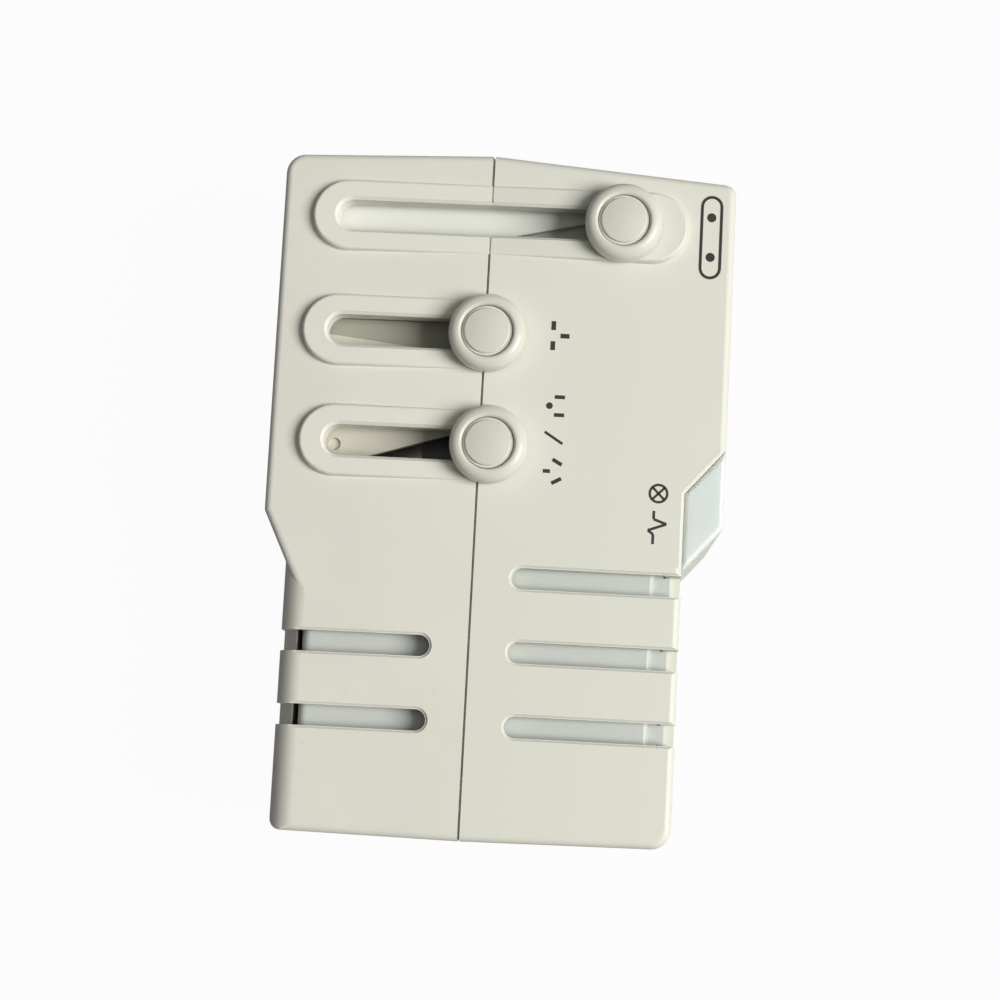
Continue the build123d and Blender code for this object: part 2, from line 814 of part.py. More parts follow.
def wiper(x, y, from_z, down_face_x=None):
    """A contact strip under a carriage, bent down to run on its bar."""
    top_z = carriage_low_z
    low_z = bar_top_z + wiper_gap
    foot = block(x - wiper_width / 2, x + wiper_width / 2, y - wiper_width / 2, y + wiper_width / 2,
                 low_z, top_z)
    if down_face_x is None:
        return foot
    riser = block(down_face_x, down_face_x + wiper_thickness, y - wiper_width / 2, y + wiper_width / 2,
                  low_z, from_z)
    bridge = block(x, down_face_x + wiper_thickness, y - wiper_width / 2, y + wiper_width / 2,
                   low_z, low_z + wiper_thickness)
    return foot + riser + bridge


# Europe plug

def europe_carriage():
    mid = (europe_pin_y, pin_mid_z)
    front_x = europe_front_x()
    low_y = europe_pin_y - europe_body_half_y
    tail_top = europe_pin_y + europe_body_half_y - europe_tail_cut
    low_z = pin_mid_z - europe_body_half_z
    body = along_x(Pos(*mid) * RectangleRounded(europe_body_half_y * 2, europe_body_half_z * 2,
                                                europe_body_corner), front_x, europe_tail_start_x)
    tail = along_x(plate_yz(low_y, tail_top, low_z, pin_mid_z + europe_body_half_z, europe_body_corner),
                   europe_tail_start_x, europe_body_rear_x)
    body = fillet((body + tail).faces().sort_by(Axis.X)[0].edges(), carriage_edge_round)
    pad = block(europe_pad_start_x, europe_body_rear_x, europe_y - boss_half, europe_y + boss_half,
                pin_mid_z, plate_top_z)
    skid = block(europe_pad_start_x, europe_body_rear_x, low_y + europe_body_corner,
                 tail_top - europe_body_corner, carriage_low_z, pin_mid_z)
    body = body + pad + skid + stem(europe_knob_x, europe_y)
    tunnel = block(europe_pad_start_x - fit, europe_body_rear_x + fit,
                   europe_y - shelf_low_half - shelf_side_gap,
                   europe_y + europe_shelf_high_half + shelf_side_gap, sliding_top_z, plate_low_z)
    pocket = block(europe_body_rear_x - europe_pocket_depth, europe_body_rear_x + fit,
                   low_y + europe_pocket_wall, tail_top - europe_pocket_wall,
                   low_z + europe_pocket_wall, pin_mid_z + europe_body_half_z - europe_pocket_wall)
    body = body - tunnel - pocket - stem_bore(europe_knob_x, europe_y)
    for side in (-1, 1):
        z = pin_mid_z + side * europe_pin_pitch / 2
        body = body - rod_x(front_x - fit, front_x + europe_pin_root, europe_pin_y, z, europe_pin_radius)
    return body


def europe_front_x():
    """The plug body's front face, so that the pins end flush with the housing at rest."""
    return europe_pin_length - plug_reach + stem_end_gap


def europe_pins():
    group = []
    front_x = europe_front_x()
    for side in (-1, 1):
        z = pin_mid_z + side * europe_pin_pitch / 2
        tip = rod_x(front_x - europe_pin_length, front_x - europe_sleeve_length, europe_pin_y, z,
                    europe_pin_radius)
        tip = fillet(tip.faces().sort_by(Axis.X)[0].edges(), europe_pin_radius / 2)
        neck = rod_x(front_x - europe_sleeve_length, front_x, europe_pin_y, z, europe_sleeve_bore)
        root = rod_x(front_x, front_x + europe_pin_root, europe_pin_y, z, europe_pin_radius)
        group.append((tip + neck + root).solid())
    return Compound(group)


def europe_sleeves():
    group = []
    front_x = europe_front_x()
    for side in (-1, 1):
        z = pin_mid_z + side * europe_pin_pitch / 2
        sleeve = rod_x(front_x - europe_sleeve_length, front_x, europe_pin_y, z, europe_sleeve_radius)
        bore = rod_x(front_x - europe_sleeve_length - fit, front_x + fit, europe_pin_y, z,
                     europe_sleeve_bore)
        group.append((sleeve - bore).solid())
    return Compound(group)


def europe_wipers():
    live = wiper(live_wiper_x + europe_travel, europe_pin_y, 0)
    neutral = wiper(europe_body_rear_x - wiper_width / 2, europe_pin_y,
                    pin_mid_z - europe_body_half_z + europe_pocket_wall, europe_body_rear_x)
    return Compound([live.solid(), neutral.solid()])


# UK plug

def uk_front_x():
    return stop_x + uk_travel


def uk_pin_tip_x():
    """Line pins end this far out at rest, so that they stand out by their length when extended."""
    return uk_travel - plug_reach - uk_pin_length


def uk_pin_top_z():
    return pin_mid_z + uk_pin_pitch / 2 + uk_pin_wide / 2


def uk_carriage():
    front_x = uk_front_x()
    low_y = uk_block_low_y
    foot_y = uk_pin_y - uk_pin_wide / 2
    head = block(front_x, uk_rear_x, low_y, uk_block_high_y, plate_top_z - uk_head_depth, sliding_top_z)
    plate = block(front_x, uk_rear_x, uk_y - boss_half / 2 - stem_half_y, uk_y + boss_half / 2 + stem_half_y,
                  sliding_top_z - fit, plate_top_z)
    grip_y = uk_pin_thick / 2 + uk_pin_chamfer
    upper_jaw = block(front_x, uk_rear_x, uk_pin_y - grip_y, uk_block_high_y, sliding_top_z - fit,
                      plate_top_z)
    spine = block(uk_spine_x, uk_rear_x, foot_y, uk_block_high_y, carriage_low_z, plate_top_z)
    foot = block(front_x, uk_rear_x, foot_y, uk_block_high_y, carriage_low_z,
                 carriage_low_z + uk_head_depth / 1.2)
    arm = block(front_x, uk_arm_rear_x, uk_earth_y - uk_earth_tall / 2, uk_block_high_y,
                pin_mid_z - uk_arm_half_z, pin_mid_z + uk_arm_half_z)
    link = block(front_x, uk_rear_x, low_y, uk_block_high_y, pin_mid_z - uk_arm_half_z,
                 pin_mid_z + uk_arm_half_z)
    body = head + plate + upper_jaw + spine + foot + arm + link + stem(uk_knob_x, uk_y)
    tunnel = block(front_x - fit, uk_rear_x + fit, uk_y - shelf_low_half - shelf_side_gap,
                   uk_y + uk_shelf_high, sliding_top_z, plate_low_z)
    strip_room = block(front_x - fit, uk_rear_x + fit, uk_y - shelf_low_half - shelf_side_gap,
                       uk_y + uk_strip_high + shelf_side_gap, uk_pin_top_z(), plate_low_z)
    body = body - tunnel - strip_room - stem_bore(uk_knob_x, uk_y)
    for side in (-1, 1):
        z = pin_mid_z + side * uk_pin_pitch / 2
        body = body - block(front_x - fit, front_x + uk_pin_root, uk_pin_y - uk_pin_thick / 2,
                            uk_pin_y + uk_pin_thick / 2, z - uk_pin_wide / 2, z + uk_pin_wide / 2)
    return body


def flat_pin(x0, x1, y, z, tall, wide):
    """A flat-sided pin with a chamfered tip at its low x end."""
    pin = block(x0, x1, y - tall / 2, y + tall / 2, z - wide / 2, z + wide / 2)
    return chamfer(pin.faces().sort_by(Axis.X)[0].edges(), uk_pin_chamfer)


def uk_line_pins():
    group = []
    for side in (-1, 1):
        pin = flat_pin(uk_pin_tip_x(), uk_front_x() + uk_pin_root, uk_pin_y,
                       pin_mid_z + side * uk_pin_pitch / 2, uk_pin_thick, uk_pin_wide)
        group.append(pin.solid())
    return Compound(group)


def uk_earth_pin():
    return flat_pin(uk_pin_tip_x() - uk_pin_chamfer, uk_front_x(), uk_earth_y, pin_mid_z,
                    uk_earth_tall, uk_earth_wide)


def uk_wipers():
    live = wiper(live_wiper_x + uk_travel, uk_pin_y, 0)
    neutral = wiper(uk_rear_x - wiper_width / 2, uk_pin_y, carriage_low_z + wiper_width, uk_rear_x)
    return Compound([live.solid(), neutral.solid()])


# USA and Australia plug

def us_front_x():
    return stop_x + us_travel


def us_hub_z(side):
    return pin_mid_z + side * us_blade_pitch / 2


def us_link_rear_x():
    """The link's rear face, just clear of the socket's base."""
    return base_front_x - us_link_gap


def us_rear_outline():
    """The back plate's section: a C that is open towards the other plugs."""
    reach_z = us_blade_pitch / 2 + us_hub_collar + us_hub_collar_fit + us_holder_wall
    high_y = us_y + us_hub_collar + us_hub_collar_fit
    tall = Pos((us_web_low_y + high_y) / 2, pin_mid_z) * Rectangle(high_y - us_web_low_y, reach_z * 2)
    gap_half = uk_arm_half_z + slide_fit
    gap_len = high_y - us_web_high_y + fit
    gap = Pos(us_web_high_y + gap_len / 2, pin_mid_z) * Rectangle(gap_len, gap_half * 2)
    return tall - gap


def us_carriage():
    front_x = us_front_x()
    rear_x = us_holder_rear_x
    body = along_x(us_rear_outline(), front_x, rear_x)
    top_z = pin_mid_z + us_blade_pitch / 2
    riser = block(front_x, rear_x, us_y - us_link_half_y, us_y + us_link_half_y, top_z, sliding_top_z)
    body = body + riser
    for side in (-1, 1):
        z = us_hub_z(side)
        body = body - rod_x(front_x - fit, rear_x + fit, us_y, z, us_hub_radius + us_hub_fit)
        body = body - rod_x(rear_x - us_hub_collar_length, rear_x + fit, us_y, z,
                            us_hub_collar + us_hub_collar_fit)
    return body


def us_back_plate():
    """Back plate, link and knob plate in one moulding, closing the hubs in behind."""
    front_x = us_holder_rear_x
    rear_x = front_x + us_back_thickness
    body = along_x(us_rear_outline(), front_x, rear_x)
    low_y, high_y = us_y - us_link_half_y, us_y + us_link_half_y
    foot = block(front_x, rear_x, us_web_low_y, us_web_high_y, carriage_low_z, pin_mid_z)
    neck = block(front_x, us_link_rear_x(), low_y, high_y, pin_mid_z + us_blade_pitch / 2, sliding_top_z)
    link = block(us_link_rear_x() - us_link_thickness, us_link_rear_x(), low_y, us_y - us_link_below_knob,
                 pin_mid_z + us_blade_pitch / 2, plate_top_z)
    plate = block(us_front_x(), us_link_rear_x(), low_y, high_y, plate_low_z, plate_top_z)
    body = body + foot + neck + link + plate + stem(us_knob_x, us_y)
    return body - stem_bore(us_knob_x, us_y)


def us_hub(side):
    z = us_hub_z(side)
    front_x = us_travel - plug_reach
    rear_x = us_holder_rear_x - us_hub_rear_gap
    hub = rod_x(front_x, rear_x, us_y, z, us_hub_radius)
    hub = chamfer(hub.faces().sort_by(Axis.X)[0].edges(), us_hub_collar_fit)
    collar = rod_x(rear_x - us_hub_collar_length + us_hub_rear_gap * 2, rear_x, us_y, z, us_hub_collar)
    slot = block(front_x - fit, front_x + us_blade_root, us_y - us_blade_wide / 2,
                 us_y + us_blade_wide / 2, z - us_blade_thick / 2, z + us_blade_thick / 2)
    return hub + collar - slot


def us_blade(side):
    z = us_hub_z(side)
    root_x = us_travel - plug_reach
    low_y, high_y = us_y - us_blade_wide / 2, us_y + us_blade_wide / 2
    blade = block(root_x - us_blade_length, root_x + us_blade_root, low_y, high_y,
                  z - us_blade_thick / 2, z + us_blade_thick / 2)
    corners = blade.edges().filter_by(Axis.Z).sort_by(Axis.X)[:2]
    blade = fillet(corners, us_blade_corner)
    hole_x = root_x - us_blade_hole_from_root
    hole = Pos(hole_x, us_y, z) * Cylinder(us_blade_hole, us_blade_thick + fit)
    return blade - hole


def us_wipers():
    y = (us_web_low_y + us_web_high_y) / 2
    rear_x = us_holder_rear_x + us_back_thickness
    neutral = wiper(rear_x - wiper_width / 2, y, carriage_low_z + wiper_width, rear_x)
    live_x = live_wiper_x + us_travel
    live = wiper(live_x, y, 0)
    arm = block(live_x, us_holder_rear_x + wiper_thickness, y - wiper_width / 2, y + wiper_width / 2,
                carriage_low_z - wiper_thickness, carriage_low_z)
    return Compound([(live + arm).solid(), neutral.solid()])


# Inside the wall-side half

def europe_shelf_plan():
    """The floor of the Europe slot, cut away on a slant near the knob."""
    low_y, high_y = europe_y - shelf_low_half, europe_y + europe_shelf_high_half
    end_y = low_y + (europe_shelf_end_x - europe_shelf_cut_x) * europe_shelf_cut_slope
    return outline((guide_x, low_y), (europe_shelf_cut_x, low_y), (europe_shelf_end_x, end_y),
                   (europe_shelf_end_x, high_y), (guide_x, high_y))


def uk_shelf_plan():
    """A tapering strip along the lower side of the UK slot."""
    low_y = uk_y - shelf_low_half
    return outline((guide_x, low_y), (uk_shelf_end_x, low_y), (uk_shelf_end_x, uk_y + uk_shelf_end_high),
                   (guide_x, uk_y + uk_shelf_high - shelf_side_gap))


def uk_slot_strip():
    """A grey strip beside the UK shelf, over the line pin, that closes the rest of the slot."""
    low_y = uk_y - shelf_low_half
    start_x = guide_back_x + uk_strip_fit
    slope = (uk_shelf_high - shelf_side_gap - uk_shelf_end_high) / (uk_shelf_end_x - guide_x)
    start_y = uk_y + uk_shelf_end_high + (uk_shelf_end_x - start_x) * slope + uk_strip_fit
    end_x = uk_shelf_end_x + uk_strip_fit
    plan = outline((start_x, start_y), (end_x, uk_y + uk_shelf_end_high + uk_strip_fit), (end_x, low_y),
                   (uk_strip_end_x, low_y), (uk_strip_end_x, uk_y + uk_strip_high),
                   (start_x, uk_y + uk_strip_high))
    return upright(plan, uk_pin_top_z() + uk_strip_above_pin, shelf_top_z - uk_strip_drop)


def us_shelf_plan():
    """The floor of the USA and Australia slot, with a long slanted end."""
    low_y, high_y = us_y - shelf_low_half, us_y + shelf_high_half
    end_x = us_shelf_cut_x + (high_y - low_y) / us_shelf_cut_slope
    return outline((guide_x, low_y), (us_shelf_cut_x, low_y), (end_x, high_y), (guide_x, high_y))


def plug_guide():
    """A plate behind the plug face that lines up the pins, with shelves under two of the slots."""
    high_y = body_length / 2 - wall - guide_gap - plug_reach * tan(radians(plug_top_draft))
    top_z = inner_front_z - plug_reach * front_fall - guide_gap
    plate = block(guide_x, guide_back_x, guide_low_y, high_y, bar_top_z + guide_gap, top_z)
    plate = plate - europe_exit(guide_x - fit, guide_back_x + fit, slide_fit)
    for plan in (europe_shelf_plan(), uk_shelf_plan(), us_shelf_plan()):
        plate = plate + upright(plan, shelf_low_z, shelf_top_z)
    root = block(guide_x, guide_back_x, europe_y - shelf_low_half, europe_y + europe_shelf_high_half,
                 shelf_low_z, top_z)
    plate = plate + root
    plate = plate - uk_exit(guide_x - fit, guide_back_x + fit, slide_fit)
    plate = plate - us_exit(guide_x - fit, guide_back_x + fit, slide_fit)
    for y, z, _, _ in post_places()[:2]:
        plate = plate - block(guide_x - fit, guide_back_x + fit, y - post_radius - fit,
                              y + post_radius + fit, min(z, wall if z < pin_mid_z else z) - post_radius,
                              max(z, z if z < pin_mid_z else body_depth) + post_radius)
    dimple = Pos(us_slot_end_x + dimple_from_slot_end, us_y, shelf_top_z) \
        * Cylinder(dimple_radius, dimple_depth * 2)
    return plate - dimple


def bar_route(run_x, turn_y, tab_y):
    """A supply bar lying on the rear wall: up past the plugs, across under the case, and a tab up."""
    high_y = europe_pin_y + europe_body_half_y
    run = block(run_x - bar_width / 2, run_x + bar_width / 2, turn_y, high_y, wall, bar_top_z)
    across = block(run_x - bar_width / 2, case_board_x(), turn_y, turn_y + bar_width, wall, bar_top_z)
    tab = block(tail_plane_x(), case_board_x(), turn_y + bar_width / 2 - tail_width / 2,
                turn_y + bar_width / 2 + tail_width / 2, wall, core_rear_z + core_wall + tab_y)
    return run + across + tab


def tail_plane_x():
    """The contacts' tails and the bars' tabs all meet the board on this side."""
    return base_front_x + base_wall


def live_turn_y():
    return core_low_y + core_wall + board_margin + tail_width


def neutral_turn_y():
    return live_turn_y() + bar_width * 2


def live_busbar():
    return bar_route(live_wiper_x, live_turn_y(), tail_width)


def neutral_busbar():
    return bar_route(neutral_bar_x, neutral_turn_y(), tail_width)


# Socket

def socket_holes(x0, x1, grow=0.0):
    """All the holes of the universal pattern."""
    room = None
    for side in (-1, 1):
        shapes = [Pos(socket_line_y, socket_mid_z + side * uk_pin_pitch / 2)
                  * Rectangle((uk_hole_half_thick + grow) * 2, (uk_hole_half_wide + grow) * 2),
                  Pos(socket_line_y, socket_mid_z + side * euro_hole_pitch / 2)
                  * Circle(euro_hole_radius + grow),
                  Pos(socket_line_y, socket_mid_z + side * us_hole_pitch / 2)
                  * Rectangle((us_hole_half_tall + grow) * 2, (us_hole_half_thick + grow) * 2),
                  Pos(socket_line_y, socket_mid_z + side * au_hole_pitch / 2)
                  * Rot(0, 0, -side * us_turn)
                  * Rectangle((us_hole_half_tall + grow) * 2, (us_hole_half_thick + grow) * 2)]
        for shape in shapes:
            room = shape if room is None else room + shape
    earth_y = socket_line_y - uk_earth_offset
    room = room + Pos(earth_y, socket_mid_z) * Rectangle((uk_earth_hole_half_tall + grow) * 2,
                                                         (uk_hole_half_thick + grow) * 2)
    room = room + Pos(socket_line_y - us_earth_drop, socket_mid_z) * Circle(us_earth_hole_radius + grow)
    return along_x(room, x0, x1)


def socket_face():
    inner_x = socket_reach - wall
    flange_x = inner_x - face_flange
    plate = along_x(face_outline(0, face_corner), inner_x, socket_reach)
    plate = plate + along_x(face_outline(0, face_corner, face_flange_foot_y), flange_x, inner_x)
    lip = along_x(plate_yz(face_waist_y - face_flange_margin, face_top_y + face_flange_margin,
                           socket_mid_z - face_half_z - face_flange_margin,
                           socket_mid_z + face_half_z + fit, face_corner), flange_x, inner_x)
    plate = plate + lip
    return plate - socket_holes(flange_x - fit, socket_reach + fit)


def socket_base():
    """The box behind the face that holds the two line contacts and clears an earth pin."""
    end_x = socket_reach - wall - face_flange
    box = block(base_front_x, end_x, base_low_y, base_high_y, socket_mid_z - base_half_z,
                socket_mid_z + base_half_z)
    box = box - block(base_front_x + base_wall, end_x + fit, base_low_y + base_wall,
                      base_high_y - base_wall, socket_mid_z - base_half_z + base_wall,
                      socket_mid_z + base_half_z - base_wall)
    leg = block(base_front_x, end_x, earth_leg_foot_y, base_low_y, socket_mid_z - earth_leg_half_z,
                socket_mid_z + earth_leg_half_z)
    leg = leg - block(base_front_x - fit, end_x + fit, earth_leg_foot_y + base_wall, base_low_y - base_wall,
                      socket_mid_z - earth_leg_half_z + base_wall,
                      socket_mid_z + earth_leg_half_z - base_wall)
    box = box + leg
    for side in (-1, 1):
        z = tail_z(side)
        box = box - block(tail_plane_x() - fit, tail_plane_x() + contact_thick + tail_slot_fit,
                          base_low_y - fit, base_low_y + base_wall + fit,
                          z - tail_width / 2 - tail_slot_fit, z + tail_width / 2 + tail_slot_fit)
    return box


def tail_z(side):
    return socket_mid_z + side * (contact_inner_z + contact_outer_z) / 2


def leaf_section(side_y):
    """One sprung leaf of a line contact in (y, z), z measured outwards from mid-depth."""
    inner = [(contact_wide_y, contact_inner_z), (contact_wide_y, contact_pinch_start_z),
             (contact_pinch_y, contact_pinch_z), (contact_pinch_y, contact_pinch_end_z),
             (contact_wide_y, contact_outer_z)]
    outer = [(y + contact_thick, z) for y, z in reversed(inner)]
    return [(side_y * y, z) for y, z in inner + outer]


def line_contact(side):
    """A contact: two leaves joined along their outer edge, and a tail to the board."""
    end_x = socket_reach - wall - face_flange - contact_end_gap
    section = None
    for side_y in (-1, 1):
        points = [(socket_line_y + y, socket_mid_z + side * z) for y, z in leaf_section(side_y)]
        section = outline(*points) if section is None else section + outline(*points)
    web_y = contact_wide_y + contact_thick
    web = Pos(socket_line_y, socket_mid_z + side * (contact_outer_z + contact_thick / 2)) \
        * Rectangle(web_y * 2, contact_thick)
    body = along_x(section + web, contact_start_x, end_x)
    z = tail_z(side)
    leaf_y = socket_line_y - contact_wide_y
    step = block(tail_plane_x(), contact_start_x + tail_width, leaf_y - contact_thick, leaf_y,
                 z - tail_width / 2, z + tail_width / 2)
    reach_in = leaf_y - contact_thick
    toe = block(contact_start_x, contact_start_x + tail_width, reach_in,
                socket_line_y - contact_pinch_y, z - tail_width / 2, z + tail_width / 2)
    tail = block(tail_plane_x(), tail_plane_x() + contact_thick, tail_end_y(), leaf_y,
                 z - tail_width / 2, z + tail_width / 2)
    return body + step + toe + tail


def tail_end_y():
    return core_high_y - core_wall - board_margin - tail_width


# Inner case and what it holds

def case_board_x():
    return tail_plane_x() + contact_thick


def core_case():
    case = block(core_left_x, core_right_x, core_low_y, core_high_y, core_rear_z, core_top_z)
    front_rim = case.faces().sort_by(Axis.Z)[-1].edges().sort_by(Axis.X)
    case = fillet(front_rim[1:], core_edge_round)
    case = case - block(core_left_x - fit, core_right_x - core_wall, core_low_y + core_wall,
                        core_high_y - core_wall, core_rear_z + core_wall, core_top_z - core_wall)
    flange_x = core_right_x + core_side_gap - core_flange_gap
    case = case + block(core_right_x - core_wall, flange_x, core_low_y + core_edge_round,
                        core_high_y - core_edge_round, core_flange_top_z - core_flange_height,
                        core_flange_top_z)
    tab_x = core_right_x + core_side_gap + core_tab_reach
    tab_half = groove_half - core_tab_fit
    for row in range(3):
        y = groove_y(row)
        case = case + block(core_right_x, tab_x, y - tab_half, y + tab_half, core_tab_low_z,
                            core_flange_top_z)
    for side in (-1, 1):
        z = tail_z(side)
        case = case - block(tail_plane_x() - tail_slot_fit, case_board_x() + tail_slot_fit,
                            core_high_y - core_wall - fit, core_high_y + fit,
                            z - tail_width / 2 - tail_slot_fit, z + tail_width / 2 + tail_slot_fit)
    for turn_y in (live_turn_y(), neutral_turn_y()):
        y = turn_y + bar_width / 2
        case = case - block(tail_plane_x() - tail_slot_fit, case_board_x() + tail_slot_fit,
                            y - tail_width / 2 - tail_slot_fit, y + tail_width / 2 + tail_slot_fit,
                            core_rear_z - fit, core_rear_z + core_wall + fit)
    for _, x, z in lead_routes():
        hole = Pos(x, z) * Circle(lead_radius + tail_slot_fit)
        case = case - along_y(hole, core_high_y - core_wall - fit, core_high_y + fit)
    return case


def core_cover():
    """The lid at the case's wall-side end, with a lip that plugs into it."""
    lip_x = core_left_x + core_cover_lip
    inner = core_wall + fit
    lip = block(core_left_x, lip_x, core_low_y + inner, core_high_y - inner, core_rear_z + inner,
                core_top_z - inner)
    plate = block(core_left_x - core_cover_thickness, core_left_x, core_low_y, core_high_y, core_rear_z,
                  core_top_z)
    outer_rim = plate.faces().sort_by(Axis.X)[0].edges()
    return fillet(outer_rim, core_cover_round) + lip


def surge_board():
    x = case_board_x()
    inset = core_wall + board_margin
    return block(x, x + board_thickness, core_low_y + inset, core_high_y - inset,
                 core_rear_z + inset, core_top_z - inset)


def surge_varistor():
    x = case_board_x() + board_thickness + varistor_stand
    y = (core_low_y + core_high_y) / 2
    z = core_top_z - varistor_drop
    disc = rod_x(x, x + varistor_thickness, y, z, varistor_radius)
    disc = fillet(disc.edges(), varistor_thickness / 4)
    for side in (-1, 1):
        disc = disc + rod_x(x - varistor_stand, x + varistor_thickness / 2, y + side * varistor_leg_pitch / 2,
                            z, varistor_leg_radius)
    return disc


def fuse_centre():
    """The fuse lies along y on the board's wall side."""
    return (case_board_x() - fuse_gap - fuse_radius, (core_low_y + core_high_y) / 2,
            core_rear_z + fuse_rise)


def rod_y(y0, y1, x, z, radius):
    return along_y(Pos(x, z) * Circle(radius), y0, y1)


def fuse():
    x, y, z = fuse_centre()
    tube = rod_y(y - fuse_length / 2, y + fuse_length / 2, x, z, fuse_radius)
    for side in (-1, 1):
        end = y + side * fuse_length / 2
        start = end - side * fuse_cap_length
        tube = tube + rod_y(min(start, end), max(start, end), x, z, fuse_radius + fuse_cap_extra)
    return tube


def fuse_clips():
    """Two sprung clips that stand on the board and hold the fuse's caps."""
    x, y, z = fuse_centre()
    grip = fuse_radius + fuse_cap_extra + fit / 2
    group = []
    for side in (-1, 1):
        mid_y = y + side * (fuse_length - fuse_cap_length) / 2
        low_y, high_y = mid_y - clip_width / 2, mid_y + clip_width / 2
        outer = Pos(x, z) * Circle(grip + clip_thickness)
        mouth = Pos(x - grip, z) * Rectangle(grip * 2, grip)
        stalk = Pos((x + case_board_x()) / 2 + grip / 2, z) * Rectangle(case_board_x() - x - grip, clip_width)
        ring = outer + stalk - Pos(x, z) * Circle(grip) - mouth
        group.append(along_y(ring, low_y, high_y).solid())
    return Compound(group)


def lamp_resistor():
    x = case_board_x() - resistor_gap - resistor_radius
    y = (core_low_y + core_high_y) / 2
    z = core_top_z - resistor_drop
    body = rod_y(y - resistor_length / 2, y + resistor_length / 2, x, z, resistor_radius)
    body = fillet(body.edges().filter_by(GeomType.CIRCLE), resistor_radius / 3)
    wire = rod_y(y - resistor_pitch / 2, y + resistor_pitch / 2, x, z, resistor_lead_radius)
    for side in (-1, 1):
        wire = wire + rod_x(x, case_board_x(), y + side * resistor_pitch / 2, z, resistor_lead_radius)
    return body + wire


# Surge lamp

def surge_lamp_lens():
    top_z = body_depth - socket_reach * front_fall - lens_below_face
    lens = upright(lens_plan(0), lens_floor_z, top_z)
    return fillet(lens.faces().sort_by(Axis.Z)[-1].edges(), lens_edge_round)


def lamp_y():
    return core_high_y + lamp_gap + lamp_radius


def surge_lamp():
    bulb = Pos(lamp_x, lamp_y(), lamp_low_z) * Cylinder(lamp_radius, lamp_length,
                                                       align=(Align.CENTER, Align.CENTER, Align.MIN))
    return fillet(bulb.faces().sort_by(Axis.Z)[-1].edges(), lamp_radius * 0.8)


def lamp_holder():
    """A saddle on the case that the lamp stands in."""
    saddle = block(lamp_x - holder_half_x, lamp_x + holder_half_x, core_high_y, lamp_y() + fit, lamp_low_z,
                   lamp_low_z + holder_height_z)
    seat = Pos(lamp_x, lamp_y(), lamp_low_z) * Cylinder(lamp_radius + fit / 2, holder_height_z * 3)
    return saddle - seat


def lead_routes():
    """Each lamp lead's start and end in x and the level of its run, one nested inside the other."""
    enter_x = case_board_x() + board_thickness + lead_pitch
    return [(lamp_x - lead_pitch / 2, enter_x + lead_pitch, lead_low_z),
            (lamp_x + lead_pitch / 2, enter_x, lead_low_z - lead_pitch)]


def lamp_leads():
    """Two leads from the lamp's foot, over the case and in through its wall beside the board."""
    group = []
    for start_x, enter_x, z in lead_routes():
        path = FilletPolyline((start_x, lamp_y(), lamp_low_z), (start_x, lamp_y(), z),
                              (enter_x, lamp_y(), z),
                              (enter_x, core_high_y - core_wall - board_margin, z), radius=lead_bend)
        start = Plane((start_x, lamp_y(), lamp_low_z), z_dir=(0, 0, -1))
        group.append(sweep(start * Circle(lead_radius), path=path).solid())
    return Compound(group)


def build_parts():
    parts = {
        "wall_side_shell": wall_side_shell(),
        "socket_side_shell": socket_side_shell(),
        "housing_screws": housing_screws(),
        "plug_guide": plug_guide(),
        "uk_slot_strip": uk_slot_strip(),
        "live_busbar": live_busbar(),
        "neutral_busbar": neutral_busbar(),
        "socket_face": socket_face(),
        "socket_base": socket_base(),
        "neutral_contact": line_contact(1),
        "live_contact": line_contact(-1),
        "core_case": core_case(),
        "core_cover": core_cover(),
        "surge_board": surge_board(),
        "surge_varistor": surge_varistor(),
        "fuse": fuse(),
        "fuse_clips": fuse_clips(),
        "lamp_resistor": lamp_resistor(),
        "surge_lamp_lens": surge_lamp_lens(),
        "surge_lamp": surge_lamp(),
        "lamp_holder": lamp_holder(),
        "lamp_leads": lamp_leads(),
        "europe_carriage": europe_carriage(),
        "europe_pins": europe_pins(),
        "europe_sleeves": europe_sleeves(),
        "europe_wipers": europe_wipers(),
        "uk_carriage": uk_carriage(),
        "uk_line_pins": uk_line_pins(),
        "uk_earth_pin": uk_earth_pin(),
        "uk_wipers": uk_wipers(),
        "us_carriage": us_carriage(),
        "us_back_plate": us_back_plate(),
        "us_wipers": us_wipers(),
        "us_neutral_hub": us_hub(1),
        "us_live_hub": us_hub(-1),
        "us_neutral_blade": us_blade(1),
        "us_live_blade": us_blade(-1),
    }
    for name, x, y in (("europe", europe_knob_x, europe_y), ("uk", uk_knob_x, uk_y),
                       ("us", us_knob_x, us_y)):
        parts[name + "_knob"] = knob(x, y)
        parts[name + "_button"] = button(x, y)
        parts[name + "_button_spring"] = button_spring(x, y)
    return parts


os.makedirs("parts", exist_ok=True)
for node, shape in build_parts().items():
    export_step(place(shape), "parts/" + node + ".step")
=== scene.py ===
import json
import math

import bmesh
import bpy
from mathutils import Matrix, Vector


